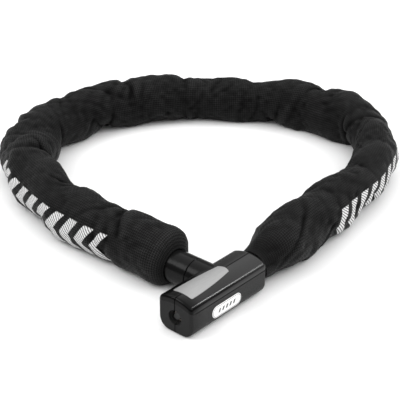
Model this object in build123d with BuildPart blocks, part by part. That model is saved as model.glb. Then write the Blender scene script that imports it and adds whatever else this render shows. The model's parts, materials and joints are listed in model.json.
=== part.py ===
"""Chain lock: a key-operated lock head, a loop of square-section chain and the woven sleeve around it.

Millimetres. The origin is on the ground, under the middle of the lock head. +X runs from the keyhole
to the rear of the head, where the chain is anchored. +Y runs out of the socket that takes the locking
pin, and +Z is up. The loop is closed and the latch is drawn back, so the pin can be pulled out.
"""

from math import asin, cos, degrees, radians, sin, tan

from build123d import *

# Lock head
head_length = 80.0
head_width = 29.4
head_height = 28.0
cover_wall = 2.0
body_gap = 0.3
body_front_setback = 0.2
flat_half_width = 6.0
arch_half_width = 12.2
arch_rise = 2.6
front_edge_radius = 2.2
rear_edge_radius = 3.6
seam_width = 0.45
seam_depth = 0.7
groove_height = 19.6
groove_width = 0.5
groove_depth = 0.45
groove_front_margin = 5.0

# Inlay and badge
inlay_front_x = -32.5
inlay_rear_x = 11.0
inlay_front_width = 16.8
inlay_rear_width = 9.8
inlay_bulge = 0.8
inlay_rear_bow = 1.5
inlay_corner_radius = 1.2
inlay_proud = 0.25
inlay_depth = 0.9
badge_length = 30.0
badge_height = 9.0
badge_x = -4.0
badge_z = 11.0
badge_proud = 0.3
badge_depth = 0.8
badge_edge_radius = 0.24
trim_gap = 0.05

# Key cylinder
keyhole_z = 12.6
keyhole_radius = 5.6
housing_radius = 8.0
plug_radius = 5.5
plug_fit = 0.06
plug_bore_radius = 4.3
keyway_radius = 4.7
keyway_tongue_width = 4.6
keyway_tongue_reach = 0.9
keyway_tongue_angle = 130.0
housing_rear_x = -8.6
plug_front_x = -37.9
plug_front_wall = 1.6
plug_rear_wall = 3.2
plug_end_gap = 0.1
disc_count = 8
disc_thickness = 1.6
disc_pitch = 2.4
disc_radius = 4.2
disc_keyway_radius = 3.3
sidebar_width = 1.9
sidebar_height = 1.1
housing_pin_radius = 1.5
housing_pin_setback = 9.0
housing_pin_recess = 1.2
sidebar_fit = 0.1
disc_stack_margin = 1.0

# Latch
cam_throw = 2.2
cam_pin_radius = 1.5
cam_start_angle = -45.0
latch_front_x = -6.6
latch_plate_thickness = 4.0
latch_plate_width = 10.6
latch_plate_height = 13.0
latch_plate_y = 0.7
latch_nose_reach = 4.2
latch_nose_radius = 0.8
latch_cam_gap = 0.2
latch_thickness = 3.2
latch_arm_height = 2.7
latch_clearance = 0.3
latch_slot_play = 0.25
latch_rest_gap = 1.4

# Locking pin, socket and collar
axis_z = 15.0
pin_x = 6.6
pin_radius = 6.0
pin_bore_radius = 6.2
pin_tip_y = -8.0
pin_bore_end_y = -8.8
pin_tip_chamfer = 1.5
pin_groove_radius = 4.0
pin_groove_width = 4.4
ring_radius = 12.25
ring_end_y = 23.2
spigot_radius = 8.0
collar_gap = 0.3
collar_end_y = 46.0
collar_edge_radius = 1.0
ring_edge_radius = 0.6
collar_mouth_radius = 0.5
eye_wall = 6.4
eye_stretch = 2.4
eye_room = 0.15
stem_overlap = 4.0
stem_half_width = 5.5

# Chain
wire = 7.0
wire_corner_radius = 1.8
link_inner_length = 28.3
link_inner_half_width = 5.0
link_end_gap = 1.0
period_count = 16
anchor_x = 31.0
anchor_pin_chamfer = 0.6
cheek_clearance = 0.4
slot_front_x = 19.2
chain_mouth_gap = 0.8
chain_mouth_radius = 3.0

# Sleeve
sleeve_radius = 20.0
sleeve_wall = 1.2
sleeve_z = sleeve_radius
sleeve_head_x = 40.6
sleeve_collar_y = 41.0
sleeve_taper = 17.0
sleeve_head_end_radius = 13.55
sleeve_collar_end_radius = 13.55
sleeve_hinge_gap = 4.6
smallest_turn = 1.5

# The chain lies round this loop, from its anchor in the head to the eye of the locking pin.
route_points = [
    (31, 0), (70, 1), (114, 4), (158, 7), (203, 13), (243, 29), (277, 55), (294, 93), (295, 132),
    (283, 168), (261, 200), (233, 235), (198, 260), (156, 278), (111, 282), (71, 269), (42, 244),
    (21, 205), (9, 163), (6.6, 123), (6.6, 90), (6.6, 50),
]
# The loop opens and closes by bending at these chain joints, counted from the anchor.
bend_joints = [4, 10, 15, 21, 26, 30]

front_x = -head_length / 2
rear_x = head_length / 2
half_width = head_width / 2
lower_radius = half_width - flat_half_width
shoulder_z = head_height - arch_rise
arch_radius = (arch_half_width**2 + arch_rise**2) / (2 * arch_rise)
arch_slope = asin(arch_half_width / arch_radius)
shoulder_radius = (half_width - arch_half_width) / (1 - sin(arch_slope))
side_top_z = shoulder_z - shoulder_radius * cos(arch_slope)


def save(part, name):
    """Labels one finished piece and writes it."""
    part.part.label = name
    export_step(part.part, f"parts/{name}.step")


def head_section(inset=0.0):
    """The head's upright section: a flat foot, round lower corners, straight sides and an arched top."""
    with BuildSketch(Plane.YZ) as section:
        with BuildLine():
            foot = Line((-flat_half_width, 0), (flat_half_width, 0))
            corner = TangentArc(foot @ 1, (half_width, lower_radius), tangent=(1, 0))
            side = Line(corner @ 1, (half_width, side_top_z))
            shoulder = TangentArc(side @ 1, (arch_half_width, shoulder_z), tangent=(0, 1))
            arch = ThreePointArc(shoulder @ 1, (0, head_height), (-arch_half_width, shoulder_z))
            far_shoulder = TangentArc(
                (-half_width, side_top_z), arch @ 1, tangent=(0, 1)
            )
            far_side = Line(far_shoulder @ 0, (-half_width, lower_radius))
            TangentArc(foot @ 0, far_side @ 1, tangent=(-1, 0))
        make_face()
        if inset:
            offset(amount=-inset)
    return section.sketch


def head_prism(inset, x_start, x_end):
    """A bar of the head's section, set in or out all round, between two places along X."""
    with BuildPart() as bar:
        add(Plane.YZ.offset(x_start).location * Plane.YZ.location.inverse() * head_section(inset))
        extrude(amount=x_end - x_start, dir=(1, 0, 0))
    return bar.part


def outline_inlay(grow=0.0):
    """The inlay's outline on the top of the head: square at the front, narrower and bowed to the rear."""
    front_half = inlay_front_width / 2 + grow
    rear_half = inlay_rear_width / 2 + grow
    middle_x = (inlay_front_x + inlay_rear_x) / 2
    middle_half = (front_half + rear_half) / 2 + inlay_bulge
    with BuildSketch(Plane.XY.offset(head_height / 2)) as outline:
        with BuildLine():
            front = Line((inlay_front_x - grow, -front_half), (inlay_front_x - grow, front_half))
            side = ThreePointArc(
                front @ 1, (middle_x, middle_half), (inlay_rear_x - inlay_rear_bow + grow, rear_half)
            )
            rear = ThreePointArc(
                side @ 1, (inlay_rear_x + grow, 0), (inlay_rear_x - inlay_rear_bow + grow, -rear_half)
            )
            ThreePointArc(rear @ 1, (middle_x, -middle_half), front @ 0)
        make_face()
        fillet(outline.vertices().group_by(Axis.X)[0], radius=inlay_corner_radius)
    return outline.sketch


def badge_blank(grow, y_inner, y_outer):
    """A flat plate with round ends on the right side of the head, from one depth to another."""
    with BuildPart() as blank:
        with BuildSketch(Plane(origin=(badge_x, y_outer, badge_z), x_dir=(1, 0, 0), z_dir=(0, 1, 0))):
            SlotOverall(badge_length + 2 * grow, badge_height + 2 * grow)
        extrude(amount=y_inner - y_outer)
    return blank.part


# Chain joints: each is the upright wire that one link turns on, alternately one link lying flat and
# one standing on edge, laid along the loop from the anchor to the pin's eye.
flat_reach = link_inner_length - 2 * (wire / 2 + link_end_gap)
edge_reach = link_inner_length + wire
link_outer_length = link_inner_length + 2 * wire
link_outer_width = 2 * (link_inner_half_width + wire)

with BuildLine() as loop:
    Spline(*route_points, tangents=[(1, 0), (0, -1)])
loop_curve = loop.edge()


def step_along(u, reach):
    """The place along the loop, after u, that lies the given straight distance away."""
    here = loop_curve.position_at(u)
    near = u
    far = min(1.0, u + 2 * reach / loop_curve.length)
    while far - near > 1e-9:
        middle = (near + far) / 2
        if (loop_curve.position_at(middle) - here).length < reach:
            near = middle
        else:
            far = middle
    return near


joint_places = [loop_curve.position_at(0)]
place = 0.0
for index in range(2 * period_count):
    place = step_along(place, flat_reach if index % 2 == 0 else edge_reach)
    joint_places.append(loop_curve.position_at(place))
eye_y = joint_places[-1].Y
for index in bend_joints:
    print(f"bend at joint {index}: {joint_places[index].X:.3f} {joint_places[index].Y:.3f}")
print(f"anchor {joint_places[0].X:.3f} {joint_places[0].Y:.3f}, eye {joint_places[-1].X:.3f} {eye_y:.3f}")


def heading(start, end):
    """Unit vector in plan from one place to another."""
    return (end - start).normalized()


# Chain links, numbered from the anchor. Odd links lie flat and even links stand on edge.
for index in range(2 * period_count):
    start = joint_places[index]
    end = joint_places[index + 1]
    along = heading(start, end)
    upright = Vector(0, 0, 1)
    facing = upright if index % 2 == 0 else along.cross(upright)
    centre = (start + end) / 2 + upright * axis_z
    with BuildPart() as link:
        with BuildSketch(Plane(origin=centre, x_dir=along, z_dir=facing)):
            SlotOverall(link_outer_length, link_outer_width)
            SlotOverall(link_inner_length, 2 * link_inner_half_width, mode=Mode.SUBTRACT)
        extrude(amount=wire / 2, both=True)
        fillet(link.edges(), radius=wire_corner_radius)
    save(link, f"chain_link_{index + 1:02d}")


def trimmed(point, towards, turn):
    """A point moved along its run so that two square-cut tubes leave room to bend there."""
    room = sleeve_hinge_gap / 2 + sleeve_radius * tan(turn / 2)
    return point + heading(point, towards) * room


def turn_at(before, point, after):
    """How far the run turns at a point, in radians."""
    return radians(heading(before, point).get_angle(heading(point, after)))


def sleeve_run(points):
    """Drops points on a nearly straight run, which a tangent arc can't round."""
    kept = [points[0]]
    for number in range(1, len(points) - 1):
        if degrees(turn_at(kept[-1], points[number], points[number + 1])) > smallest_turn:
            kept.append(points[number])
    return kept + [points[-1]]


def corner_radii(points):
    """The largest arc that fits each corner of a run."""
    radii = []
    for number in range(1, len(points) - 1):
        before, point, after = points[number - 1 : number + 2]
        shorter = min((point - before).length, (after - point).length)
        radii.append(0.45 * shorter / tan(turn_at(before, point, after) / 2))
    return radii


def taper_to(end_plane, end_radius, wide_plane):
    """A hollow cone frustum between the full sleeve and its narrow end, which sit at different heights."""
    with BuildPart() as taper:
        for radius_drop, how in ((0.0, Mode.ADD), (sleeve_wall, Mode.SUBTRACT)):
            with BuildSketch(end_plane):
                Circle(end_radius - radius_drop)
            with BuildSketch(wide_plane):
                Circle(sleeve_radius - radius_drop)
            loft(mode=how)
    return taper.part


# Sleeve, in one length for each stretch of chain between two bends
stops = [0] + bend_joints + [2 * period_count]
for number in range(len(stops) - 1):
    first = stops[number]
    last = stops[number + 1]
    points = joint_places[first : last + 1]
    at_head = number == 0
    at_collar = number == len(stops) - 2
    if at_head:
        points[0] = Vector(sleeve_head_x + sleeve_taper, 0, 0)
        points = [p for p in points if p.X >= points[0].X]
    else:
        turn = turn_at(joint_places[first - 1], joint_places[first], joint_places[first + 1])
        points[0] = trimmed(points[0], points[1], turn)
    if at_collar:
        points[-1] = Vector(pin_x, sleeve_collar_y + sleeve_taper, 0)
        points = [p for p in points if p.Y >= points[-1].Y]
    else:
        turn = turn_at(joint_places[last - 1], joint_places[last], joint_places[last + 1])
        points[-1] = trimmed(points[-1], points[-2], turn)
    run = sleeve_run(points)
    with BuildLine(Plane.XY.offset(sleeve_z)) as centre_line:
        if len(run) > 2:
            FilletPolyline(*[(p.X, p.Y) for p in run], radius=corner_radii(run))
        else:
            Line(*[(p.X, p.Y) for p in run])
    run_wire = centre_line.wire()
    start_plane = Plane(origin=run_wire @ 0, z_dir=run_wire % 0)
    end_plane = Plane(origin=run_wire @ 1, z_dir=run_wire % 1)
    with BuildPart() as sleeve:
        with BuildSketch(start_plane):
            Circle(sleeve_radius)
            Circle(sleeve_radius - sleeve_wall, mode=Mode.SUBTRACT)
        sweep(path=run_wire)
        if at_head:
            narrow_plane = Plane(origin=(sleeve_head_x, 0, axis_z), z_dir=(1, 0, 0))
            add(taper_to(narrow_plane, sleeve_head_end_radius, start_plane))
        if at_collar:
            narrow_plane = Plane(origin=(pin_x, sleeve_collar_y, axis_z), z_dir=(0, -1, 0))
            add(taper_to(narrow_plane, sleeve_collar_end_radius, end_plane))
    save(sleeve, f"sleeve_{number + 1}")
    if len(run) > 2:
        tightest = min(corner_radii(run))
        print(f"sleeve_{number + 1}: length {run_wire.length:.1f}, tightest arc {tightest:.0f}")


def latch_form(clearance):
    """The latch: an upright plate that the cam lifts, and an arm with its nose under the locking pin."""
    arm_top = axis_z - pin_radius - latch_rest_gap
    arm_bottom = arm_top - latch_arm_height
    plate_rear = latch_front_x + latch_plate_thickness
    nose_x = pin_x + latch_nose_reach
    with BuildPart() as form:
        with Locations(((latch_front_x + plate_rear) / 2, latch_plate_y, 0)):
            Box(
                latch_plate_thickness + 2 * clearance,
                latch_plate_width + 2 * clearance,
                latch_plate_height + 2 * clearance,
                align=(Align.CENTER, Align.CENTER, Align.MIN),
            )
        with Locations((latch_front_x - clearance, 0, 0)):
            Box(
                nose_x - latch_front_x + 2 * clearance,
                latch_thickness + 2 * clearance,
                latch_arm_height + 2 * clearance,
                align=(Align.MIN, Align.CENTER, Align.MIN),
            )
    return Pos(0, 0, arm_bottom - clearance) * form.part


cam_y = cam_throw * cos(radians(cam_start_angle))
cam_z = keyhole_z + cam_throw * sin(radians(cam_start_angle))
latch_travel = 2 * (keyhole_z - cam_z)
print(f"latch travel {latch_travel:.4f}")

# Latch bolt, drawn back below the pin's groove
with BuildPart() as latch_bolt:
    add(latch_form(0.0))
    with BuildSketch(Plane.YZ.offset(latch_front_x - 1)):
        with Locations(((cam_y + cam_throw) / 2, cam_z)):
            SlotOverall(
                cam_throw - cam_y + 2 * (cam_pin_radius + latch_slot_play) + 2 * latch_cam_gap,
                2 * (cam_pin_radius + latch_slot_play),
            )
    extrude(amount=latch_plate_thickness + 2, mode=Mode.SUBTRACT)
    fillet(latch_bolt.edges().filter_by(Axis.Z).group_by(Axis.X)[-1], radius=latch_nose_radius)
save(latch_bolt, "latch_bolt")

housing_pin_x = housing_rear_x - housing_pin_setback
housing_pin_top_z = keyhole_z - plug_radius - housing_pin_recess

# Lock body: the solid core that holds the cylinder, the pin's bore, the latch and the chain's anchor
body_front_x = plug_front_x + body_front_setback
body_rear_x = rear_x - cover_wall - cheek_clearance
with BuildPart() as lock_body:
    add(head_prism(cover_wall + body_gap, body_front_x, body_rear_x))
    with BuildSketch(Plane.YZ.offset(body_front_x)):
        with Locations((0, keyhole_z)):
            Circle(housing_radius + trim_gap)
    extrude(amount=housing_rear_x - body_front_x, mode=Mode.SUBTRACT)
    with BuildSketch(Plane.YZ.offset(housing_rear_x)):
        with Locations((0, keyhole_z)):
            Circle(plug_radius)
    extrude(amount=latch_front_x + latch_plate_thickness - housing_rear_x, mode=Mode.SUBTRACT)
    with BuildSketch(Plane(origin=(pin_x, head_width, axis_z), z_dir=(0, -1, 0))):
        Circle(pin_bore_radius)
    extrude(amount=head_width - pin_bore_end_y, mode=Mode.SUBTRACT)
    for lift in (0.0, latch_travel / 2, latch_travel):
        add(Pos(0, 0, lift) * latch_form(latch_clearance), mode=Mode.SUBTRACT)
    with Locations((slot_front_x, 0, axis_z)):
        Box(
            head_length,
            head_width,
            wire + 2 * cheek_clearance,
            align=(Align.MIN, Align.CENTER, Align.CENTER),
            mode=Mode.SUBTRACT,
        )
    with BuildSketch(Plane.XY):
        with Locations((anchor_x, 0)):
            Circle(wire / 2)
    extrude(amount=head_height, mode=Mode.SUBTRACT)
    with BuildSketch(Plane.XY):
        with Locations((housing_pin_x, 0)):
            Circle(housing_pin_radius)
    extrude(amount=housing_pin_top_z, mode=Mode.SUBTRACT)
save(lock_body, "lock_body")

# Anchor pin: the chain's first link turns on it
with BuildPart() as anchor_pin:
    with BuildSketch(Plane.XY.offset(cover_wall + body_gap)):
        with Locations((anchor_x, 0)):
            Circle(wire / 2)
    extrude(amount=head_height - 2 * (cover_wall + body_gap))
    chamfer(anchor_pin.edges(), length=anchor_pin_chamfer)
save(anchor_pin, "anchor_pin")

# Cylinder housing
with BuildPart() as cylinder_housing:
    with BuildSketch(Plane.YZ.offset(body_front_x)):
        with Locations((0, keyhole_z)):
            Circle(housing_radius)
            Circle(plug_radius + plug_fit, mode=Mode.SUBTRACT)
        with Locations((0, keyhole_z + plug_radius)):
            Rectangle(sidebar_width + 2 * sidebar_fit, 2 * sidebar_height, mode=Mode.SUBTRACT)
    extrude(amount=housing_rear_x - body_front_x)
    with BuildSketch(Plane.XY):
        with Locations((housing_pin_x, 0)):
            Circle(housing_pin_radius)
    extrude(amount=housing_pin_top_z, mode=Mode.SUBTRACT)
save(cylinder_housing, "cylinder_housing")

# Housing pin: keeps the cylinder from being drawn out of the lock body
with BuildPart() as housing_pin:
    with BuildSketch(Plane.XY.offset(cover_wall + body_gap)):
        with Locations((housing_pin_x, 0)):
            Circle(housing_pin_radius)
    extrude(amount=housing_pin_top_z - cover_wall - body_gap)
save(housing_pin, "housing_pin")


def keyway(radius, grow=0.0):
    """A round key opening with a rounded tongue reaching in from one side, on the cylinder's axis."""
    angle = radians(keyway_tongue_angle)
    reach = radius * 2
    start = keyway_tongue_reach - keyway_tongue_width / 2
    with BuildSketch(Plane.YZ) as opening:
        with Locations((0, keyhole_z)):
            Circle(radius)
        middle = (start + reach) / 2
        with Locations((middle * cos(angle), keyhole_z + middle * sin(angle))):
            SlotOverall(
                reach - start + keyway_tongue_width / 2,
                keyway_tongue_width + grow,
                rotation=keyway_tongue_angle,
                mode=Mode.SUBTRACT,
            )
    return opening.sketch


# Cylinder plug, with the cam pin that lifts the latch at its rear
plug_rear_x = housing_rear_x - plug_end_gap
discs_front_x = plug_front_x + plug_front_wall + disc_stack_margin
with BuildPart() as cylinder_plug:
    with BuildSketch(Plane.YZ.offset(plug_front_x)):
        with Locations((0, keyhole_z)):
            Circle(plug_radius)
    extrude(amount=plug_rear_x - plug_front_x)
    with BuildSketch(Plane.YZ.offset(plug_front_x + plug_front_wall)):
        with Locations((0, keyhole_z)):
            Circle(plug_bore_radius)
    extrude(amount=plug_rear_x - plug_rear_wall - plug_front_x - plug_front_wall, mode=Mode.SUBTRACT)
    add(Pos(plug_front_x - 1, 0, 0) * extrude(keyway(keyway_radius), 5, mode=Mode.PRIVATE),
        mode=Mode.SUBTRACT)
    with Locations((discs_front_x, 0, keyhole_z + plug_bore_radius)):
        Box(
            disc_count * disc_pitch + 2 * disc_stack_margin,
            sidebar_width + 2 * sidebar_fit,
            2 * sidebar_height + disc_stack_margin,
            align=(Align.MIN, Align.CENTER, Align.CENTER),
            mode=Mode.SUBTRACT,
        )
    with BuildSketch(Plane.YZ.offset(plug_rear_x)):
        with Locations((cam_y, cam_z)):
            Circle(cam_pin_radius)
    extrude(amount=latch_front_x + latch_plate_thickness - latch_cam_gap - plug_rear_x)
save(cylinder_plug, "cylinder_plug")

# Detainer discs, which the key lines up
with BuildPart() as detainer_discs:
    for number in range(disc_count):
        disc_x = discs_front_x + number * disc_pitch
        with BuildSketch(Plane.YZ.offset(disc_x)):
            with Locations((0, keyhole_z)):
                Circle(disc_radius)
        extrude(amount=disc_thickness)
        add(Pos(disc_x - 1, 0, 0) * extrude(keyway(disc_keyway_radius), 4, mode=Mode.PRIVATE),
            mode=Mode.SUBTRACT)
save(detainer_discs, "detainer_discs")

# Side bar, which drops into the discs' notches
with BuildPart() as side_bar:
    bar_bottom = keyhole_z + disc_radius + sidebar_fit
    with Locations((discs_front_x + 2 * sidebar_fit, 0, bar_bottom)):
        Box(
            disc_count * disc_pitch + disc_stack_margin,
            sidebar_width,
            sidebar_height - sidebar_fit,
            align=(Align.MIN, Align.CENTER, Align.MIN),
        )
save(side_bar, "side_bar")


def build_cover(side):
    """One half shell of the head. side is +1 for the left half and -1 for the right."""
    with BuildPart() as cover:
        add(head_prism(0.0, front_x, rear_x))
        fillet(cover.faces().sort_by(Axis.X)[0].edges(), radius=front_edge_radius)
        fillet(cover.faces().sort_by(Axis.X)[-1].edges(), radius=rear_edge_radius)
        add(head_prism(cover_wall, front_x + cover_wall, rear_x - cover_wall), mode=Mode.SUBTRACT)
        with BuildSketch(Plane.YZ.offset(front_x - 1)):
            with Locations((0, keyhole_z)):
                Circle(keyhole_radius)
        extrude(amount=cover_wall + 2, mode=Mode.SUBTRACT)
        with BuildSketch(Plane.YZ.offset(rear_x + 1)):
            with Locations((0, axis_z)):
                RectangleRounded(
                    link_outer_width + 2 * chain_mouth_gap,
                    wire + 3 * chain_mouth_gap,
                    radius=chain_mouth_radius,
                )
        extrude(amount=-cover_wall - 2, mode=Mode.SUBTRACT)
        with BuildSketch(Plane(origin=(pin_x, 0, axis_z), z_dir=(0, 1, 0))):
            Circle(spigot_radius + 2 * trim_gap)
        extrude(amount=head_width, mode=Mode.SUBTRACT)
        # Recesses for the inlay and the badge
        inlay_cut = extrude(outline_inlay(trim_gap), head_height * 2, mode=Mode.PRIVATE)
        inlay_floor = head_prism(inlay_depth + trim_gap, front_x, rear_x)
        add(inlay_cut - inlay_floor, mode=Mode.SUBTRACT)
        add(badge_blank(trim_gap, -half_width + badge_depth, -head_width), mode=Mode.SUBTRACT)
        # Seam between the halves, and the groove along each side
        with Locations((0, 0, head_height / 2)):
            seam = Box(head_length + 2, seam_width, head_height + 2, mode=Mode.PRIVATE)
        seam_floor = head_prism(seam_depth, front_x + seam_depth, rear_x - seam_depth)
        add(Pos(0, 0, head_height / 2) * seam - seam_floor, mode=Mode.SUBTRACT)
        groove_length = head_length - groove_front_margin
        groove = Box(groove_length, head_width + 2, groove_width, mode=Mode.PRIVATE)
        groove_floor = head_prism(groove_depth, front_x, rear_x)
        placed_groove = Pos(groove_front_margin / 2, 0, groove_height) * groove
        add(placed_groove - groove_floor, mode=Mode.SUBTRACT)
        split(bisect_by=Plane.XZ, keep=Keep.BOTTOM if side > 0 else Keep.TOP)
    return cover


cover_left = build_cover(1)
save(cover_left, "cover_left")
cover_right = build_cover(-1)
save(cover_right, "cover_right")

# Top inlay
with BuildPart() as top_inlay:
    add(extrude(outline_inlay(), head_height * 2, mode=Mode.PRIVATE))
    add(head_prism(-inlay_proud, front_x, rear_x), mode=Mode.INTERSECT)
    add(head_prism(inlay_depth, front_x, rear_x), mode=Mode.SUBTRACT)
save(top_inlay, "top_inlay")

# Badge plate
with BuildPart() as badge_plate:
    add(badge_blank(0.0, -half_width + badge_depth, -half_width - badge_proud))
    fillet(badge_plate.faces().sort_by(Axis.Y)[0].edges(), radius=badge_edge_radius)
save(badge_plate, "badge_plate")

# Socket ring: the mouth of the pin's bore on the head's left side
with BuildPart() as socket_ring:
    with BuildSketch(Plane(origin=(pin_x, 0, axis_z), z_dir=(0, 1, 0))):
        Circle(ring_radius)
    extrude(amount=ring_end_y)
    fillet(socket_ring.faces().sort_by(Axis.Y)[-1].edges(), radius=ring_edge_radius)
    add(head_prism(0.0, front_x, rear_x), mode=Mode.SUBTRACT)
    spigot_inner_y = half_width - cover_wall - body_gap + trim_gap
    with BuildSketch(Plane(origin=(pin_x, spigot_inner_y, axis_z), z_dir=(0, 1, 0))):
        Circle(spigot_radius)
    extrude(amount=half_width - spigot_inner_y + 1)
    with BuildSketch(Plane(origin=(pin_x, 0, axis_z), z_dir=(0, 1, 0))):
        Circle(pin_bore_radius)
    extrude(amount=head_width * 2, mode=Mode.SUBTRACT)
save(socket_ring, "socket_ring")

# Locking pin: a grooved shaft with a long eye that lies flat in the chain's last link
stem_end_y = collar_end_y - stem_overlap
shaft_end_y = collar_end_y - stem_overlap / 2
eye_centre_y = eye_y - link_inner_half_width + wire / 2 + link_end_gap
eye_radius = link_inner_half_width + eye_wall
with BuildPart() as locking_pin:
    with BuildSketch(Plane(origin=(pin_x, pin_tip_y, axis_z), z_dir=(0, 1, 0))):
        Circle(pin_radius)
    extrude(amount=shaft_end_y - pin_tip_y)
    chamfer(locking_pin.faces().sort_by(Axis.Y)[0].edges(), length=pin_tip_chamfer)
    with BuildSketch(Plane(origin=(pin_x, -pin_groove_width / 2, axis_z), z_dir=(0, 1, 0))):
        Circle(pin_radius + 1)
        Circle(pin_groove_radius, mode=Mode.SUBTRACT)
    extrude(amount=pin_groove_width, mode=Mode.SUBTRACT)
    with BuildSketch(Plane.XY.offset(axis_z - wire / 2)):
        with Locations((pin_x, eye_centre_y + eye_stretch / 2)):
            SlotOverall(2 * eye_radius + eye_stretch, 2 * eye_radius, rotation=90)
        with Locations((pin_x, (stem_end_y + eye_centre_y) / 2)):
            Rectangle(2 * stem_half_width, eye_centre_y - stem_end_y)
    extrude(amount=wire)
    with BuildSketch(Plane.XY):
        with Locations((pin_x, eye_centre_y + eye_stretch / 2)):
            SlotOverall(
                2 * link_inner_half_width + eye_stretch,
                2 * link_inner_half_width,
                rotation=90,
            )
    extrude(amount=head_height, mode=Mode.SUBTRACT)
save(locking_pin, "locking_pin")

# Collar: the cap that is fixed round the pin's outer end and holds the sleeve
with BuildPart() as pin_collar:
    with BuildSketch(Plane(origin=(pin_x, ring_end_y + collar_gap, axis_z), z_dir=(0, 1, 0))):
        Circle(ring_radius)
    extrude(amount=collar_end_y - ring_end_y - collar_gap)
    fillet(pin_collar.faces().sort_by(Axis.Y)[0].edges(), radius=collar_mouth_radius)
    fillet(pin_collar.faces().sort_by(Axis.Y)[-1].edges(), radius=collar_edge_radius)
    with BuildSketch(Plane(origin=(pin_x, 0, axis_z), z_dir=(0, 1, 0))):
        Circle(pin_radius + trim_gap)
    extrude(amount=head_width * 3, mode=Mode.SUBTRACT)
    # Room for the rounded end of the pin's eye
    with BuildSketch(Plane(origin=(pin_x, eye_centre_y - eye_radius - 2 * eye_room, axis_z), z_dir=(0, 1, 0))):
        Circle(eye_radius + eye_room)
    extrude(amount=head_width, mode=Mode.SUBTRACT)
save(pin_collar, "pin_collar")
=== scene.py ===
"""Looks of the sleeved chain lock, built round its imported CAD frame.

Everything is in metres, in the CAD's frame: +X from the keyhole to the rear of the lock head, +Y out of
the pin's socket, +Z up.
"""

import json
import math

import bpy
import numpy as np
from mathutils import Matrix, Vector


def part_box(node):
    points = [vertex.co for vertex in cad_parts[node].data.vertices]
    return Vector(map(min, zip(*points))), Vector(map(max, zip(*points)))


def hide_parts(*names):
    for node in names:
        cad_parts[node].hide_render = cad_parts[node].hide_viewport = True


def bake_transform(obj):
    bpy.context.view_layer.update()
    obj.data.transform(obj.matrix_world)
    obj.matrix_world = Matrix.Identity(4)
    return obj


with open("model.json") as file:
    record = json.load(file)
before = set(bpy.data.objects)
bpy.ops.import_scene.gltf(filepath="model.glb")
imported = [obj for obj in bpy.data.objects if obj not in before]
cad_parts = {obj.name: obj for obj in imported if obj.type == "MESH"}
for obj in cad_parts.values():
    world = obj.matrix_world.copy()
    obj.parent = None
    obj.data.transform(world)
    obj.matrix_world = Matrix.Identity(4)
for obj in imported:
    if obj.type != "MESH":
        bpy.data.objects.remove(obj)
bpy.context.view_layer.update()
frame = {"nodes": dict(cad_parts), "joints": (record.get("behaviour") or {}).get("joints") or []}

MM = 0.001

# Camera: place and aim in metres, lens and sensor in millimetres
CAMERA_PLACE = Vector((-0.4995, -0.4242, 0.4317))
CAMERA_TARGET = Vector((0.1099, 0.1090, 0.003))
CAMERA_LENS = 101.9
CAMERA_SENSOR = 36

# Sleeve cloth
SLEEVE_RADIUS = 20 * MM
SLEEVE_THICKNESS = 1.2 * MM
COVER = 1.6 * MM
FLOOR_CLEARANCE = 0.3 * MM
RING_SPACING = 4.6 * MM
LINE_SOFTNESS = 7 * MM
AROUND = 40
UPSAMPLE = 3
SEED = 11
AXIS_HEIGHT = 15 * MM
AXIS_RISE = 5.2 * MM
LINK_PERIOD = 54.6 * MM

# The sleeve is gathered to END_RADIUS behind the head and on the collar, and fills out over these lengths.
END_RADIUS = 12.9 * MM
HEAD_GATHER = 34 * MM
COLLAR_DOME = 15 * MM
SLOW_WAVE = 154 * MM
SLOW_WAVE_HEIGHT = 0.6 * MM
SLOW_WAVE_START = 0.7
# Soft swellings that repeat with the links: turns round the sleeve and height in mm
RIPPLES = ((0, 0.4), (1, 0.4), (2, 0.6), (2, -0.4), (3, 0.3))
UNEVENNESS = 0.2 * MM

# How the cloth settles: spare length along it, more of it in a bend, and spare width round it
SPARE_LENGTH = 1.035
SPARE_IN_BEND = 0.15
SPARE_ROUND = 1.02
SETTLE_ROUNDS = 200
CLEAR_EVERY = 8
FIXED_RINGS = 2
SAG_STEP = 0.012 * MM
PADDING_PULL = 0.012
THREAD_STIFFNESS = 0.9
DIAGONAL_STIFFNESS = 0.12
PRESSED_ALONG = 0.35
PRESSED_ROUND = 0.6
# Bending stiffness: how far apart the compared points are, and how strongly they are evened out
BENDING = ((1, 0.16), (2, 0.08))

# Folds fade in from the two ends over these lengths.
FOLDS_FROM_HEAD = 30 * MM
FOLDS_FROM_COLLAR = 16 * MM
WRINKLE_COUNT = 150
CREASES_PER_HOLLOW = 3

# The main swellings on the outer and the inner side of the loop: place along the sleeve from the head, and
# height above its round shape, in mm. Between two of them the cloth draws in by DRAWN_IN.
OUTER_CROWNS = [
    (90, 1), (200, -2), (290, 3), (350, 0), (420, -1), (480, 4), (530, 4), (600, 3), (640, 1), (710, 0),
    (780, 3), (850, 3),
]
INNER_CROWNS = [
    (100, 1), (210, -2), (320, 6), (410, 3), (490, 0), (570, 3), (640, 6), (710, 4), (780, 0), (850, 3),
]
DRAWN_IN = 4
LAST_DRAW = 50
EDGE_FOCUS = 1.3
# The swellings lie on the two edges of the sleeve as it is seen along this direction.
SEEN_ALONG = (0.67, 0.58, -0.46)


# ---------------------------------------------------------------- materials


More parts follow.
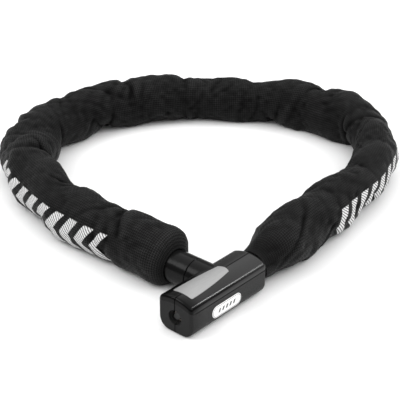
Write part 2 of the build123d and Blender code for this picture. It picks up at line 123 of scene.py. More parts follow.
class Nodes:
    """Short calls for building one material's node tree."""

    def __init__(self, name):
        self.material = bpy.data.materials.new(name)
        self.material.use_nodes = True
        self.tree = self.material.node_tree
        self.shader = self.tree.nodes["Principled BSDF"]

    def new(self, kind, **settings):
        node = self.tree.nodes.new(kind)
        for key, value in settings.items():
            setattr(node, key, value)
        return node

    def plug(self, socket, value):
        if isinstance(value, bpy.types.NodeSocket):
            self.tree.links.new(value, socket)
        else:
            socket.default_value = value

    def maths(self, operation, *values, clamp=False):
        node = self.new("ShaderNodeMath", operation=operation, use_clamp=clamp)
        for socket, value in zip(node.inputs, values):
            self.plug(socket, value)
        return node.outputs[0]

    def mix(self, factor, a, b):
        node = self.new("ShaderNodeMix", data_type="RGBA")
        self.plug(node.inputs[0], factor)
        self.plug(node.inputs[6], a)
        self.plug(node.inputs[7], b)
        return node.outputs[2]

    def step(self, value, low, high):
        """A smooth step from 0 at low to 1 at high."""
        node = self.new("ShaderNodeMapRange", interpolation_type="SMOOTHSTEP")
        for socket, number in zip(node.inputs, (value, low, high, 0.0, 1.0)):
            self.plug(socket, number)
        return node.outputs[0]

    def noise(self, scale, detail=3.0, vector=None, roughness=0.5):
        node = self.new("ShaderNodeTexNoise")
        node.inputs["Scale"].default_value = scale
        node.inputs["Detail"].default_value = detail
        node.inputs["Roughness"].default_value = roughness
        self.plug(node.inputs["Vector"], vector or self.place())
        return node.outputs["Fac"]

    def place(self):
        return self.new("ShaderNodeTexCoord").outputs["Object"]

    def split(self, vector):
        node = self.new("ShaderNodeSeparateXYZ")
        self.plug(node.inputs[0], vector)
        return node.outputs

    def bump(self, height, distance, strength=1.0, normal=None):
        node = self.new("ShaderNodeBump")
        node.inputs["Strength"].default_value = strength
        node.inputs["Distance"].default_value = distance
        self.plug(node.inputs["Height"], height)
        if normal is not None:
            self.plug(node.inputs["Normal"], normal)
        return node.outputs[0]

    def finish(self, **values):
        for key, value in values.items():
            self.plug(self.shader.inputs[key.replace("_", " ")], value)
        return self.material


def grey(value, warm=0.0):
    """A grey, or a warmer tone of it."""
    return (value * (1 + warm), value, value * (1 - warm), 1.0)


def plastic_gloss():
    """Glossy black moulded plastic, with faint waviness and small scuffs."""
    m = Nodes("collar_gloss_black")
    scuff = m.step(m.noise(900, 4), 0.55, 0.8)
    wear = m.maths("MULTIPLY", scuff, 0.12)
    rough = m.maths("ADD", wear, 0.2)
    colour = m.mix(m.noise(60), grey(0.002), grey(0.005))
    return m.finish(
        Base_Color=colour,
        Roughness=rough,
        Specular_IOR_Level=0.1,
        Normal=m.bump(m.noise(140, 2), 0.00012),
    )


# Height of the groove along the head's sides, and the edge of the gloss on the front face: an arch that is
# FRONT_ARCH high in the middle and falls off with the square of the distance from it
GROOVE_HEIGHT = 19.6 * MM
FRONT_ARCH = 23.6 * MM
ARCH_FALL = 14.0


def head_cover():
    """The head's shells: glossy above the side groove and round the front edge, fine spark texture below,
    with painted shade in the seam and the side grooves and a painted sheen towards the rear of the glossy
    top.
    """
    m = Nodes("head_cover")
    x, y, z = m.split(m.place())
    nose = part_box("cover_left")[0].x
    # Where it is glossy: the top, and the part of the front face above the arch
    top = m.step(z, GROOVE_HEIGHT - 0.1 * MM, GROOVE_HEIGHT + 0.6 * MM)
    fall = m.maths("MULTIPLY", m.maths("MULTIPLY", y, y), ARCH_FALL)
    arch = m.maths("SUBTRACT", FRONT_ARCH, fall)
    front_low = m.step(m.maths("SUBTRACT", arch, z), 0.0, 0.5 * MM)
    front = m.maths("SUBTRACT", 1.0, m.step(x, nose + 1.1 * MM, nose + 2.4 * MM))
    front_matte = m.maths("MULTIPLY", front, front_low)
    gloss = m.maths("SUBTRACT", top, front_matte, clamp=True)
    rear = m.step(x, nose + 30 * MM, nose + 70 * MM)
    # Roughness and colour of the glossy and the textured surfaces
    grain = m.noise(2600, 2)
    coarse = m.noise(420, 3)
    gloss_rough = m.maths("ADD", m.maths("MULTIPLY", rear, 0.1), 0.16)
    matte_rough = m.maths("ADD", m.maths("MULTIPLY", coarse, 0.1), 0.42)
    rough_gap = m.maths("SUBTRACT", gloss_rough, matte_rough)
    rough = m.maths("ADD", matte_rough, m.maths("MULTIPLY", gloss, rough_gap))
    matte = m.mix(grain, grey(0.010), grey(0.030))
    # Painted sheen: the glossy colour is painted lighter towards the rear
    gloss_colour_and_sheen = m.mix(rear, grey(0.001), grey(0.010))
    height = m.maths("MULTIPLY", grain, m.maths("SUBTRACT", 1.0, gloss))
    # Painted shade: dark lines painted in the seam between the shells and in the side grooves, where shade
    # falls in these recesses
    parting = m.maths("SUBTRACT", 1.0, m.step(m.maths("ABSOLUTE", y), 0.2 * MM, 0.5 * MM))
    from_groove = m.maths("ABSOLUTE", m.maths("SUBTRACT", z, GROOVE_HEIGHT))
    groove = m.maths("SUBTRACT", 1.0, m.step(from_groove, 0.25 * MM, 0.5 * MM))
    behind_front = m.step(x, nose + 3.5 * MM, nose + 4.5 * MM)
    painted_seam_and_groove_shade = m.maths("MAXIMUM", parting, m.maths("MULTIPLY", m.maths("MULTIPLY", groove, behind_front), 0.7))
    # Strength of the reflection, less at the nose and towards the rear
    glint = m.maths("MULTIPLY", gloss, m.maths("SUBTRACT", 0.55, m.maths("MULTIPLY", rear, 0.1)))
    past_nose = m.step(x, nose + 1 * MM, nose + 16 * MM)
    shine = m.maths("ADD", m.maths("MULTIPLY", past_nose, 0.7), 0.3)
    level = m.maths("MULTIPLY", m.maths("ADD", 0.16, m.maths("MULTIPLY", glint, 0.3)), shine)
    return m.finish(
        Base_Color=m.mix(painted_seam_and_groove_shade, m.mix(gloss, matte, gloss_colour_and_sheen), grey(0.0005)),
        Roughness=rough,
        Specular_IOR_Level=m.maths("MULTIPLY", level, m.maths("SUBTRACT", 1.0, painted_seam_and_groove_shade)),
        Normal=m.bump(height, 0.00018, 0.7),
    )


def brushed(name, value, rough, metallic=1.0, scale=(1, 60, 60), warm=0.0):
    """Metal with a fine grain drawn out along one axis."""
    m = Nodes(name)
    stretch = m.new("ShaderNodeMapping")
    m.plug(stretch.inputs["Vector"], m.place())
    stretch.inputs["Scale"].default_value = scale
    grain = m.noise(60, 3, stretch.outputs[0])
    spots = m.noise(240, 3)
    colour = m.mix(grain, grey(value * 0.8, warm), grey(value * 1.15, warm))
    roughness = m.maths("ADD", m.maths("MULTIPLY", spots, 0.15), rough)
    return m.finish(
        Base_Color=colour, Roughness=roughness, Metallic=metallic, Normal=m.bump(grain, 0.00005, 0.5)
    )


def badge_face():
    """White badge plate with a thin dark border and a generic row of short slanted marks."""
    m = Nodes("badge_white")
    x, _, z = m.split(m.place())
    low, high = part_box("badge_plate")
    centre = (low + high) / 2
    half_length = (high.x - low.x) / 2
    half_height = (high.z - low.z) / 2
    dx = m.maths("ABSOLUTE", m.maths("SUBTRACT", x, centre.x))
    dz = m.maths("SUBTRACT", z, centre.z)
    past = m.maths("MAXIMUM", m.maths("SUBTRACT", dx, half_length - half_height), 0.0)
    reach = m.maths("SQRT", m.maths("ADD", m.maths("MULTIPLY", past, past), m.maths("MULTIPLY", dz, dz)))
    ring_out = m.step(reach, 3.55 * MM, 3.7 * MM)
    ring_in = m.maths("SUBTRACT", 1.0, m.step(reach, 3.9 * MM, 4.05 * MM))
    ring = m.maths("MULTIPLY", ring_out, ring_in)
    slant = m.maths("SUBTRACT", m.maths("SUBTRACT", x, centre.x), m.maths("MULTIPLY", dz, 0.45))
    wave = m.maths("PINGPONG", slant, 1.9 * MM)
    mark = m.maths("SUBTRACT", 1.0, m.step(wave, 0.8 * MM, 1.0 * MM))
    within = m.maths("SUBTRACT", 1.0, m.step(m.maths("ABSOLUTE", dz), 1.35 * MM, 1.5 * MM))
    inside = m.maths("SUBTRACT", 1.0, m.step(m.maths("ABSOLUTE", slant), 8.3 * MM, 8.5 * MM))
    marks = m.maths("MULTIPLY", m.maths("MULTIPLY", mark, within), inside)
    ink = m.maths("MAXIMUM", ring, marks)
    white = m.mix(m.noise(300), grey(0.86), grey(0.93))
    return m.finish(
        Base_Color=m.mix(ink, white, grey(0.05)),
        Roughness=m.maths("ADD", m.maths("MULTIPLY", m.noise(800), 0.1), 0.28),
        Normal=m.bump(ink, 0.00008, 0.6),
    )


# Reflective print: where it lies along the sleeve from the head, and how far round from the outer side
PRINT_FIRST = (0.078, 0.228)
PRINT_SECOND = (0.676, 0.826)
PRINT_LOW = -0.0165
PRINT_HIGH = 0.0095
BAR_PITCH = 16 * MM
BAR_WIDTH = 9 * MM
BAR_SLANT = 0.75
HATCH = 2.9 * MM
YARN = 1.8 * MM


def woven_sleeve():
    """Black woven nylon: a plain weave whose yarn crowns are painted lighter, a painted sheen where the
    yarns catch the light, creases painted near black as painted shade, and a grey print of chevron bars.
    """
    m = Nodes("sleeve_woven_nylon")
    uv = m.new("ShaderNodeUVMap", uv_map="cloth").outputs[0]
    u, v, _ = m.split(uv)
    pu = m.maths("MULTIPLY", u, math.pi / YARN)
    pv = m.maths("MULTIPLY", v, math.pi / YARN)
    warp = m.maths("ABSOLUTE", m.maths("SINE", pu))
    weft = m.maths("ABSOLUTE", m.maths("SINE", pv))
    over = m.maths("MULTIPLY", m.maths("SINE", pu), m.maths("SINE", pv))
    above = m.step(over, -0.1, 0.1)
    crown = m.maths("ADD", m.maths("MULTIPLY", above, m.maths("SUBTRACT", warp, weft)), weft)
    slub = m.noise(700, 3)
    crown = m.maths("MULTIPLY", crown, m.maths("ADD", m.maths("MULTIPLY", slub, 0.5), 0.7))
    patch = m.noise(35, 3)
    dark = m.mix(patch, grey(0.002), grey(0.004))
    light = m.mix(patch, grey(0.013), grey(0.026))
    rise, _, _ = m.split(m.new("ShaderNodeUVMap", uv_map="relief").outputs[0])
    # Painted shade: the cloth is painted near black where it sinks into a crease, below the cloth round it
    outside_crease_shade = m.step(rise, -1.1 * MM, 0.9 * MM)
    # Painted sheen: the yarn crowns of the weave are painted lighter than the yarn between them
    cloth = m.mix(m.maths("POWER", crown, 2.5), dark, light)
    cloth = m.mix(outside_crease_shade, grey(0.0008), cloth)

    def between(value, low, high, soft=0.25 * MM):
        rise = m.step(value, low - soft, low + soft)
        fall = m.step(value, high - soft, high + soft)
        return m.maths("SUBTRACT", rise, fall)

    middle = (PRINT_LOW + PRINT_HIGH) / 2
    fold = m.maths("ABSOLUTE", m.maths("SUBTRACT", v, middle))
    slanted = m.maths("SUBTRACT", u, m.maths("MULTIPLY", fold, BAR_SLANT))
    cell = m.maths("WRAP", slanted, 0.0, BAR_PITCH)
    bars = between(cell, 0.5 * (BAR_PITCH - BAR_WIDTH), 0.5 * (BAR_PITCH + BAR_WIDTH))
    rows = between(v, PRINT_LOW, PRINT_HIGH)
    zones = m.maths("ADD", between(slanted, *PRINT_FIRST), between(slanted, *PRINT_SECOND))
    printed = m.maths("MULTIPLY", m.maths("MULTIPLY", bars, rows), zones, clamp=True)
    hatch = m.maths("SINE", m.maths("MULTIPLY", m.maths("ADD", u, v), 2 * math.pi / HATCH))
    lines = m.step(hatch, -0.95, -0.1)
    # The print's hatch lines, with the ink painted brighter on the yarn crowns as a painted sheen
    hatch_ink_and_sheen = m.maths("MULTIPLY", lines, m.maths("ADD", m.maths("MULTIPLY", crown, 0.35), 0.65))
    ink = m.mix(hatch_ink_and_sheen, grey(0.03), grey(0.74))
    m.shader.inputs["Sheen Weight"].default_value = 0.04
    m.shader.inputs["Sheen Roughness"].default_value = 0.4
    return m.finish(
        Base_Color=m.mix(printed, cloth, ink),
        Roughness=m.maths("SUBTRACT", 0.72, m.maths("MULTIPLY", crown, 0.2)),
        Specular_IOR_Level=m.maths("MULTIPLY", m.maths("ADD", m.maths("MULTIPLY", crown, outside_crease_shade), 0.15), 0.13),
        Normal=m.bump(crown, 0.00022, 0.7),
    )


# ---------------------------------------------------------------- sleeve


def link_names():
    """The chain's links, from the anchor round to the pin."""
    return sorted(n for n in frame["nodes"] if n.startswith("chain_link"))


def link_centres():
    """The middle of each link in plan."""
    boxes = [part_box(n) for n in link_names()]
    return np.array([[(a.x + b.x) / 2, (a.y + b.y) / 2] for a, b in boxes])


def chain_forms():
    """For each link: its middle, its direction in plan, half its length and half its width and height."""
    forms = []
    for name in link_names():
        mesh = frame["nodes"][name].data
        points = np.empty(3 * len(mesh.vertices))
        mesh.vertices.foreach_get("co", points)
        world = np.array(frame["nodes"][name].matrix_world)
        points = points.reshape(-1, 3) @ world[:3, :3].T + world[:3, 3]
        middle = (points.min(0) + points.max(0)) / 2
        flat = points[:, :2] - points[:, :2].mean(0)
        ahead = np.linalg.svd(flat, full_matrices=False)[2][0]
        reach = np.abs(flat @ ahead).max()
        wide = np.abs(flat @ np.array([-ahead[1], ahead[0]])).max()
        tall = (points[:, 2].max() - points[:, 2].min()) / 2
        forms.append((middle, ahead, reach, wide, tall))
    return forms


def clear_links(points, forms, cover):
    """Moves cloth points out of the chain, so that they cover each link by the given thickness."""
    flat = points.reshape(-1, 3)
    for middle, ahead, reach, wide, tall in forms:
        gap = flat - middle
        along = np.abs(gap[:, :2] @ ahead)
        near = np.nonzero(along < reach + cover)[0]
        side = gap[near, :2] @ np.array([-ahead[1], ahead[0]])
        rise = gap[near, 2]
        round_end = np.clip(along[near] - (reach - max(wide, tall)), 0, max(wide, tall) + cover)
        across, up = wide + cover, tall + cover
        if wide > tall:
            across = np.sqrt(np.maximum(across**2 - round_end**2, (tall + cover) ** 2))
        else:
            up = np.sqrt(np.maximum(up**2 - round_end**2, (wide + cover) ** 2))
        level = ((side / across) ** 4 + (rise / up) ** 4) ** 0.25
        grow = np.maximum(1 / np.maximum(level, 0.2), 1.0) - 1
        flat[near, 0] -= grow * side * ahead[1]
        flat[near, 1] += grow * side * ahead[0]
        flat[near, 2] += grow * rise
    points[:] = flat.reshape(points.shape)


def smooth_line(points, spacing, softness):
    """A plan line through rough points, evenly spaced and rounded off, with its ends kept."""
    gaps = np.linalg.norm(np.diff(points, axis=0), axis=1)
    place = np.r_[0, np.cumsum(gaps)]
    fine = np.arange(0, place[-1], 1 * MM)
    line = np.stack([np.interp(fine, place, points[:, i]) for i in (0, 1)], 1)
    reach = int(3 * softness / MM)
    window = np.exp(-0.5 * (np.arange(-reach, reach + 1) * MM / softness) ** 2)
    window /= window.sum()
    before = 2 * line[0] - line[reach:0:-1]
    after = 2 * line[-1] - line[-2 : -reach - 2 : -1]
    padded = np.concatenate([before, line, after])
    line = np.stack([np.convolve(padded[:, i], window, "valid") for i in (0, 1)], 1)
    gaps = np.linalg.norm(np.diff(line, axis=0), axis=1)
    place = np.r_[0, np.cumsum(gaps)]
    count = int(round(place[-1] / spacing)) + 1
    even = np.linspace(0, place[-1], count)
    return even, np.stack([np.interp(even, place, line[:, i]) for i in (0, 1)], 1)


def sleeve_ends():
    """Where the sleeve starts behind the head and where it ends on the collar, in plan."""
    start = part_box("sleeve_1")[0]
    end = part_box("sleeve_7")[0]
    collar_low, collar_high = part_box("pin_collar")
    return (start.x, 0.0), ((collar_low.x + collar_high.x) / 2, end.y)


def scallops(crowns):
    """Hollows and crowns in turn along the sleeve, from hollow to hollow: place and height of each in mm."""
    spots = [(0, crowns[0][1] - DRAWN_IN)]
    for (near, low), (far, high) in zip(crowns, crowns[1:]):
        spots += [(near, low), ((near + far) / 2, (low + high) / 2 - DRAWN_IN)]
    last, high = crowns[-1]
    return spots + [(last, high), (last + LAST_DRAW, high - DRAWN_IN)]


def lump_height(place, crowns):
    """Scalloped height along the sleeve: round over each crown and sharp in each hollow."""
    spots = np.array(scallops(crowns)) * MM
    out = np.zeros(len(place))
    for k in range(len(spots) - 1):
        (near, low), (far, high) = spots[k], spots[k + 1]
        if k % 2:
            near, far, low, high = far, near, high, low
        share = np.clip(np.abs((place - near) / (far - near)), 0, 1)
        inside = (place >= min(near, far)) & (place <= max(near, far))
        out = np.where(inside, low + (high - low) * np.sin(share * np.pi / 2), out)
    return out


def outline_angle(tangent, outward, sign):
    """The angle round the sleeve of its edge as seen along SEEN_ALONG, on the outer or the inner side."""
    ahead = np.concatenate([tangent, np.zeros((len(tangent), 1))], 1)
    facing = np.cross(ahead, np.array(SEEN_ALONG)) * sign
    flat = (facing[:, :2] * outward).sum(1)
    return np.arctan2(facing[:, 2], flat)


def pull(p, first, second, rest, pressed):
    """Moves pairs of cloth points towards their rest distance. Pressed-together cloth resists less."""
    a, b = p[first], p[second]
    gap = b - a
    length = np.linalg.norm(gap, axis=-1, keepdims=True)
    excess = (length - rest) / np.maximum(length, 1e-9)
    excess = np.where(excess < 0, excess * pressed, excess)
    shift = 0.5 * THREAD_STIFFNESS * excess * gap
    p[first] = a + shift
    p[second] = b - shift


def relax(p, home, along, around, forms, rounds):
    """Lets the sleeve cloth settle: it hardly stretches, folds where it is pressed together, is held
    loosely round by its padding, and stays outside the chain and above the floor."""
    rings = len(p)
    keep_start, keep_end = p[:FIXED_RINGS].copy(), p[-FIXED_RINGS:].copy()
    every = slice(None)
    for turn in range(rounds):
        p[..., 2] -= SAG_STEP
        p += PADDING_PULL * (home - p)
        for parity in (0, 1):
            a = slice(parity, rings - 1, 2)
            b = slice(parity + 1, rings, 2)
            size = min(len(range(*a.indices(rings))), len(range(*b.indices(rings))))
            a = slice(parity, parity + 2 * size, 2)
            b = slice(parity + 1, parity + 1 + 2 * size, 2)
            pull(p, a, b, along[a][:size], PRESSED_ALONG)
            rolled = np.roll(p, -1, axis=1)
            for one, two in ((p, rolled), (rolled, p)):
                gap = two[b] - one[a]
                length = np.linalg.norm(gap, axis=-1, keepdims=True)
                rest = np.sqrt(along[a][:size] ** 2 + around[a] ** 2)
                shift = DIAGONAL_STIFFNESS * (1 - rest / np.maximum(length, 1e-9)) * gap
                one[a] += shift
                two[b] -= shift
            p[:] = (p + np.roll(rolled, 1, axis=1)) / 2
        even = (every, slice(0, None, 2))
        odd = (every, slice(1, None, 2))
        pull(p, even, odd, around, PRESSED_ROUND)
        turned = np.roll(p, -1, axis=1)
        pull(turned, even, odd, around, PRESSED_ROUND)
        p[:] = np.roll(turned, 1, axis=1)
        moved = p - home
        for stride, stiff in BENDING:
            middle = (moved[: -2 * stride] + moved[2 * stride :]) / 2
            moved[stride:-stride] += stiff * (middle - moved[stride:-stride])
            ring = (np.roll(moved, stride, axis=1) + np.roll(moved, -stride, axis=1)) / 2
            moved += stiff * (ring - moved)
        p[:] = home + moved
        if (turn + 1) % CLEAR_EVERY == 0:
            clear_links(p, forms, COVER)
        p[..., 2] = np.maximum(p[..., 2], FLOOR_CLEARANCE)
        p[:FIXED_RINGS], p[-FIXED_RINGS:] = keep_start, keep_end
    return p


def sleeve_cloth(forms):
    """The settled sleeve: each ring's place, its point on the plan line, its outward plan direction, its
    points and its tangent."""
    rng = np.random.default_rng(SEED)
    start, end = sleeve_ends()
    points = np.array([start, *link_centres()[1:], end])
    apart = np.linalg.norm(points - points[-1], axis=1) > 12 * MM
    apart[-1] = True
    place, line = smooth_line(points[apart], RING_SPACING, LINE_SOFTNESS)
    total = place[-1]
    tangent = np.gradient(line, axis=0)
    tangent /= np.linalg.norm(tangent, axis=1, keepdims=True)
    outward = np.stack([tangent[:, 1], -tangent[:, 0]], 1)
    heading = np.unwrap(np.arctan2(tangent[:, 1], tangent[:, 0]))
    curve = np.gradient(heading, place)
    angle = np.arange(AROUND) * 2 * np.pi / AROUND
    s = place[:, None]
    # Fullness: gathered at the head, domed at the collar, with soft swellings between the links
    head_share = np.clip(s / HEAD_GATHER, 0, 1)
    head_fill = head_share * head_share * (3 - 2 * head_share)
    collar_share = np.clip((total - s) / COLLAR_DOME, 0, 1)
    collar_fill = np.sqrt(1 - (1 - collar_share) ** 2)
    full = SLEEVE_RADIUS + SLOW_WAVE_HEIGHT * np.sin(2 * np.pi * s / SLOW_WAVE + SLOW_WAVE_START)
    radius = END_RADIUS + (full - END_RADIUS) * np.minimum(head_fill, collar_fill)
    height = AXIS_HEIGHT + AXIS_RISE * np.minimum(head_fill, collar_fill)
    swell = np.zeros((len(place), AROUND))
    for turns, amount in RIPPLES:
        phase = rng.uniform(0, 2 * np.pi)
        swell += amount * MM * np.sin(2 * np.pi * s / LINK_PERIOD + turns * angle[None] + phase)
    swell += UNEVENNESS * rng.normal(size=swell.shape)
    for crowns, sign in ((OUTER_CROWNS, -1.0), (INNER_CROWNS, 1.0)):
        side = outline_angle(tangent, outward, sign)
        near = np.clip(np.cos(angle[None] - side[:, None]), 0, 1) ** EDGE_FOCUS
        swell += lump_height(place, crowns)[:, None] * near
    r = radius + swell * np.minimum(1, head_fill + 0.35) * collar_fill
    across = r * np.cos(angle)[None]
    up = r * np.sin(angle)[None] + height
    p = np.empty((len(place), AROUND, 3))
    p[..., :2] = line[:, None] + across[..., None] * outward[:, None]
    p[..., 2] = np.maximum(up, FLOOR_CLEARANCE)
    home = p.copy()
    bend = np.abs(curve)[:, None, None] * SLEEVE_RADIUS
    along = np.linalg.norm(np.diff(home, axis=0), axis=2, keepdims=True)
    along = along * (SPARE_LENGTH + SPARE_IN_BEND * bend[1:])
    around = np.linalg.norm(np.roll(home, -1, axis=1) - home, axis=2, keepdims=True)
    around = around.mean(1, keepdims=True) * SPARE_ROUND
    rounds = SETTLE_ROUNDS
    p = relax(p, home, along, around, forms, rounds)
    return place, line, outward, p, tangent


def cubic(values, factor, closed):
    """Values with points added between them on a smooth curve, along the first axis."""
    if closed:
        padded = np.concatenate([values[-1:], values, values[:2]])
    else:
        padded = np.concatenate([2 * values[:1] - values[1:2], values, 2 * values[-1:] - values[-2:-1]])
    out = []
    spans = len(values) if closed else len(values) - 1
    for step in range(factor):
        t = step / factor
        a, b, c, d = (padded[i : i + spans] for i in range(4))
        square = 2 * a - 5 * b + 4 * c - d
        cube = 3 * b - a - 3 * c + d
        out.append(0.5 * (2 * b + (c - a) * t + square * t**2 + cube * t**3))
    mixed = np.stack(out, 1).reshape((spans * factor,) + values.shape[1:])
    return mixed if closed else np.concatenate([mixed, values[-1:]])


def ring_normals(p):
    """Outward unit normals of the rings of points."""
    along = np.gradient(p, axis=0)
    around = np.roll(p, -1, axis=1) - np.roll(p, 1, axis=1)
    n = np.cross(along, around)
    n /= np.maximum(np.linalg.norm(n, axis=-1, keepdims=True), 1e-12)
    return n


def wrinkles(place, count, rng):
    """Fine slanting folds in the cloth, in metres, for each ring and place round it."""
    s = place[:, None]
    a = (np.arange(count) * 2 * np.pi / count)[None]
    out = np.zeros((len(place), count))
    for _ in range(WRINKLE_COUNT):
        centre = rng.uniform(place[0] + 30 * MM, place[-1] - 20 * MM)
        side = rng.uniform(0, 2 * np.pi)
        slope = rng.normal(0, 14) * MM
        width = rng.uniform(1.8, 4.0) * MM
        reach = rng.uniform(0.35, 1.1)
        turn = (a - side + np.pi) % (2 * np.pi) - np.pi
        across = s - centre - slope * turn - 2.5 * MM * np.sin(3 * turn)
        depth = rng.uniform(0.25, 0.75) * MM
        fade = np.exp(-0.5 * (turn / reach) ** 2)
        valley = np.exp(-0.5 * (across / width) ** 2) * fade
        out -= depth * valley
        out += 0.5 * depth * np.exp(-0.5 * ((across - 2.2 * width) / width) ** 2) * fade
    return out


def creases(place, count, tangent, outward, rng):
    """Sharp slanting creases that run part of the way round from each hollow in the outline."""
    s = place[:, None]
    a = (np.arange(count) * 2 * np.pi / count)[None]
    out = np.zeros((len(place), count))
    for crowns, sign in ((OUTER_CROWNS, -1.0), (INNER_CROWNS, 1.0)):
        side = outline_angle(tangent, outward, sign)
        for spot, _ in scallops(crowns)[2::2]:
            for _ in range(CREASES_PER_HOLLOW):
                lean = rng.normal(0, 9) * MM
                reach = rng.uniform(0.5, 1.3)
                depth = rng.uniform(0.6, 1.7) * MM
                width = rng.uniform(1.6, 3.2) * MM
                start = rng.normal(0, 0.35)
                turn = (a - side[:, None] - start + np.pi) % (2 * np.pi) - np.pi
                bow = rng.uniform(-3, 3) * MM
                across = np.abs(s - spot * MM - lean * turn - bow * turn * turn)
                fade = np.exp(-((turn / reach) ** 4))
                out -= depth * fade * np.exp(-across / width)
                out += 0.35 * depth * fade * np.exp(-0.5 * ((across - 3 * width) / (1.2 * width)) ** 2)
    return out


def surface_relief(p, normal):
    """How far each point stands out of the cloth round it: below zero in a crease and above on a fold."""
    level = p.copy()
    for _ in range(10):
        level[1:-1] = (level[:-2] + 2 * level[1:-1] + level[2:]) / 4
        level = (np.roll(level, 1, axis=1) + 2 * level + np.roll(level, -1, axis=1)) / 4
    rise = ((p - level) * normal).sum(-1)
    return rise - rise.mean()


def finer(p, line, place, outward, tangent):
    """The sleeve's rings and what belongs to them, with points added between on smooth curves."""
    p = cubic(p, UPSAMPLE, closed=False)
    p = np.swapaxes(cubic(np.swapaxes(p, 0, 1), UPSAMPLE, closed=True), 0, 1)
    place = cubic(place[:, None], UPSAMPLE, closed=False)[:, 0]
    line, outward, tangent = (cubic(values, UPSAMPLE, closed=False) for values in (line, outward, tangent))
    return p, line, place, outward, tangent


def bends_along(line):
    """Each bend of the chain, in order along the sleeve: the ring nearest to it, and its joint."""
    found = []
    for joint in frame["joints"]:
        if joint["name"].startswith("chain_bend"):
            spot = np.array(joint["pos_m"][:2])
            found.append((int(np.argmin(np.linalg.norm(line - spot, axis=1))), joint))
    return sorted(found, key=lambda pair: pair[0])


def cloth_faces(rows, count):
    """Quads of a double tube: its outer layer, its inner layer, and the two cut ends between them."""
    faces = []
    for k in range(rows - 1):
        for j in range(count):
            a, b = k * count + j, k * count + (j + 1) % count
            faces.append((a, a + count, b + count, b))
    shift = rows * count
    faces += [tuple(shift + v for v in reversed(f)) for f in faces]
    last = (rows - 1) * count
    for j in range(count):
        a, b = j, (j + 1) % count
        faces.append((a, b, shift + b, shift + a))
        a, b = last + a, last + b
        faces.append((b, a, shift + a, shift + b))
    return faces


# Distance round the full sleeve, as a whole number of the weave's repeats. The weave's count starts anew
# three quarters of the way round, on the underside.
FULL_TURN = round(2 * math.pi * SLEEVE_RADIUS / (2 * YARN)) * 2 * YARN
WEAVE_JOIN = 0.75


def lay_uv(mesh, cloth_place, relief):
    """Two UV maps: "cloth" is the distance along and round the cloth, "relief" how far it stands out."""
    rows, count = relief.shape
    corner = np.empty(len(mesh.loops), np.int64)
    mesh.loops.foreach_get("vertex_index", corner)
    ring = np.tile(np.repeat(np.arange(rows), count), 2)[corner]
    turn = np.tile(np.arange(count), 2 * rows)[corner]
    column = turn.reshape(-1, 4)
    wraps = (column.max(1) - column.min(1)) > count / 2
    column = np.where(wraps[:, None] & (column < count / 2), column + count, column)
    share = (column / count).reshape(-1)
    round_cloth = np.where(share > WEAVE_JOIN, share - 1, share) * FULL_TURN
    height = relief[ring, turn]
    for name, u, v in (("cloth", cloth_place[ring], round_cloth), ("relief", height, height)):
        layer = mesh.uv_layers.new(name=name)
        layer.data.foreach_set("uv", np.stack([u, v], 1).astype(np.float32).ravel())


def cloth_piece(name, material, outer, normal, cloth_place, relief):
    """One length of the sleeve, as a closed double tube."""
    rows, count = relief.shape
    inner = outer - normal * SLEEVE_THICKNESS
    mesh = bpy.data.meshes.new(name)
    points = np.concatenate([outer.reshape(-1, 3), inner.reshape(-1, 3)])
    mesh.from_pydata(points.tolist(), [], cloth_faces(rows, count))
    mesh.shade_smooth()
    lay_uv(mesh, cloth_place, relief)
    mesh.validate()
    facing = normal.reshape(-1, 3)
    mesh.normals_split_custom_set_from_vertices(np.concatenate([facing, -facing]).tolist())
    mesh.materials.append(material)
    piece = bpy.data.objects.new(name, mesh)
    bpy.context.scene.collection.objects.link(piece)
    return piece


def make_sleeve(material):
    """The sleeve in one piece for each bend, split in the middle of each stretch that stays stiff."""
    forms = chain_forms()
    place, line, outward, p, tangent = sleeve_cloth(forms)
    rng = np.random.default_rng(SEED + 1)
    p, line, place, outward, tangent = finer(p, line, place, outward, tangent)
    count = p.shape[1]
    from_head = np.clip(place / FOLDS_FROM_HEAD, 0, 1)
    from_collar = np.clip((place[-1] - place) / FOLDS_FROM_COLLAR, 0, 1)
    ends = np.minimum(from_head, from_collar)
    folds = wrinkles(place, count, rng) + creases(place, count, tangent, outward, rng)
    p += ring_normals(p) * (folds * ends[:, None])[..., None]
    clear_links(p, forms, COVER)
    p[..., 2] = np.maximum(p[..., 2], FLOOR_CLEARANCE)
    normal = ring_normals(p)
    relief = surface_relief(p, normal)
    steps = np.linalg.norm(np.diff(p, axis=0), axis=2).mean(axis=1)
    cloth_place = np.r_[0, np.cumsum(steps)]
    bends = bends_along(line)
    rings = [ring for ring, _ in bends]
    cuts = [0] + [(a + b) // 2 for a, b in zip(rings[:-1], rings[1:])] + [len(place) - 1]
    for number, (at, joint) in enumerate(bends):
        lo, hi = cuts[number], cuts[number + 1]
        own = slice(lo, hi + 1)
        name = f"sleeve_cloth_{number + 1}"
        piece = cloth_piece(name, material, p[own], normal[own], cloth_place[own], relief[own])
        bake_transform(piece)
        stands_for = [f"sleeve_{number + 1}"]
        if number == len(bends) - 1:
            stands_for.append(f"sleeve_{number + 2}")
        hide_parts(*stands_for)


# ---------------------------------------------------------------- finishes of the CAD nodes


def dress(node, material):
    """Gives a CAD node its finish and smooth shading with crisp edges."""
    o = frame["nodes"][node]
    o.data.materials.clear()
    o.data.materials.append(material)
    o.data.polygons.foreach_set("use_smooth", [True] * len(o.data.polygons))
    o.data.set_sharp_from_angle(angle=math.radians(32))


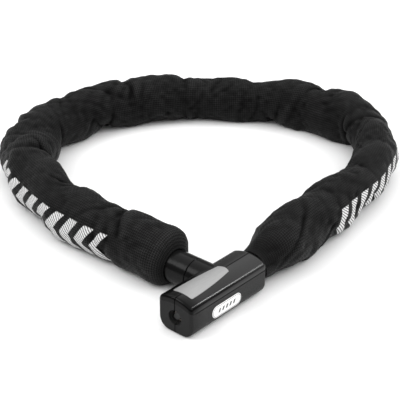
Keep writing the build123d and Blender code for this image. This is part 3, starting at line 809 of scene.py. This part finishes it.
def dress_all():
    """Every CAD node's finish. The sleeve's own nodes are hidden behind the cloth."""
    cover = head_cover()
    gloss = plastic_gloss()
    chain = brushed("chain_steel", 0.42, 0.34)
    steel = brushed("ground_steel", 0.5, 0.25)
    # Brass, painted darker and duller than bright brass as painted shade for the parts seen inside the
    # keyway
    brass = brushed("brass", 0.3, 0.4, warm=0.12)
    core = brushed("die_cast", 0.4, 0.5)
    # The plug is painted near black, painted shade for the dark keyhole
    dark = brushed("plug_dark", 0.022, 0.42, metallic=0.5)
    inlay = brushed("inlay_satin", 0.33, 0.36, metallic=0.55, scale=(2, 60, 60))
    badge = badge_face()
    finishes = {
        "cover_left": cover, "cover_right": cover, "top_inlay": inlay, "badge_plate": badge,
        "socket_ring": gloss, "pin_collar": gloss, "lock_body": core, "cylinder_housing": brass,
        "detainer_discs": brass, "cylinder_plug": dark, "side_bar": steel, "housing_pin": steel,
        "anchor_pin": steel, "latch_bolt": steel, "locking_pin": steel,
    }
    for node in frame["nodes"]:
        if node.startswith("chain_link"):
            dress(node, chain)
        elif node in finishes:
            dress(node, finishes[node])


# ---------------------------------------------------------------- camera, floor and light


def set_camera():
    """The camera, looking down on the head from its front right."""
    data = bpy.data.cameras.new("camera")
    data.lens = CAMERA_LENS
    data.sensor_width = CAMERA_SENSOR
    data.clip_end = 20
    camera = bpy.data.objects.new("camera", data)
    bpy.context.scene.collection.objects.link(camera)
    camera.location = CAMERA_PLACE
    camera.rotation_mode = "QUATERNION"
    camera.rotation_quaternion = (CAMERA_TARGET - CAMERA_PLACE).to_track_quat("-Z", "Y")
    bpy.context.scene.camera = camera


def make_floor():
    """A wide, plain, pale floor."""
    mesh = bpy.data.meshes.new("floor")
    half = 6.0
    corners = [(-half, -half, 0), (half, -half, 0), (half, half, 0), (-half, half, 0)]
    mesh.from_pydata(corners, [], [(0, 1, 2, 3)])
    floor = bpy.data.objects.new("floor", mesh)
    bpy.context.scene.collection.objects.link(floor)
    m = Nodes("floor_pale")
    tone = m.mix(m.noise(2), grey(0.86), grey(0.88))
    mesh.materials.append(m.finish(Base_Color=tone, Roughness=0.9))


def area_light(name, place, target, size, power, size_y=None):
    """A square lamp, or a strip where size_y is given, turned to its target."""
    data = bpy.data.lights.new(name, "AREA")
    data.energy = power
    data.size = size
    if size_y:
        data.shape = "RECTANGLE"
        data.size_y = size_y
    light = bpy.data.objects.new(name, data)
    bpy.context.scene.collection.objects.link(light)
    light.location = place
    light.rotation_mode = "QUATERNION"
    light.rotation_quaternion = (Vector(target) - Vector(place)).to_track_quat("-Z", "Y")


def set_light():
    """Soft studio light: a wide dome, two large lamps, and a strip for the line on the head's shoulder."""
    world = bpy.data.worlds.new("studio")
    bpy.context.scene.world = world
    world.use_nodes = True
    background = world.node_tree.nodes["Background"]
    background.inputs["Color"].default_value = (1, 1, 1, 1)
    background.inputs["Strength"].default_value = 0.3
    middle = (0.13, 0.13, 0.0)
    dome = bpy.data.lights.new("dome", "SUN")
    dome.energy = 3.1
    dome.angle = math.radians(120)
    lamp = bpy.data.objects.new("dome", dome)
    bpy.context.scene.collection.objects.link(lamp)
    area_light("key", (-0.7, 0.6, 0.9), middle, 0.6, 5)
    area_light("fill", (0.5, -1.1, 0.8), middle, 0.7, 3)
    area_light("shoulder", (0.80, -0.55, 0.72), (0, 0, 0.02), 0.05, 3.2, 0.5)
    bpy.context.scene.view_settings.view_transform = "Standard"
    bpy.context.scene.view_settings.look = "None"


set_camera()
set_light()
make_floor()
dress_all()
make_sleeve(woven_sleeve())
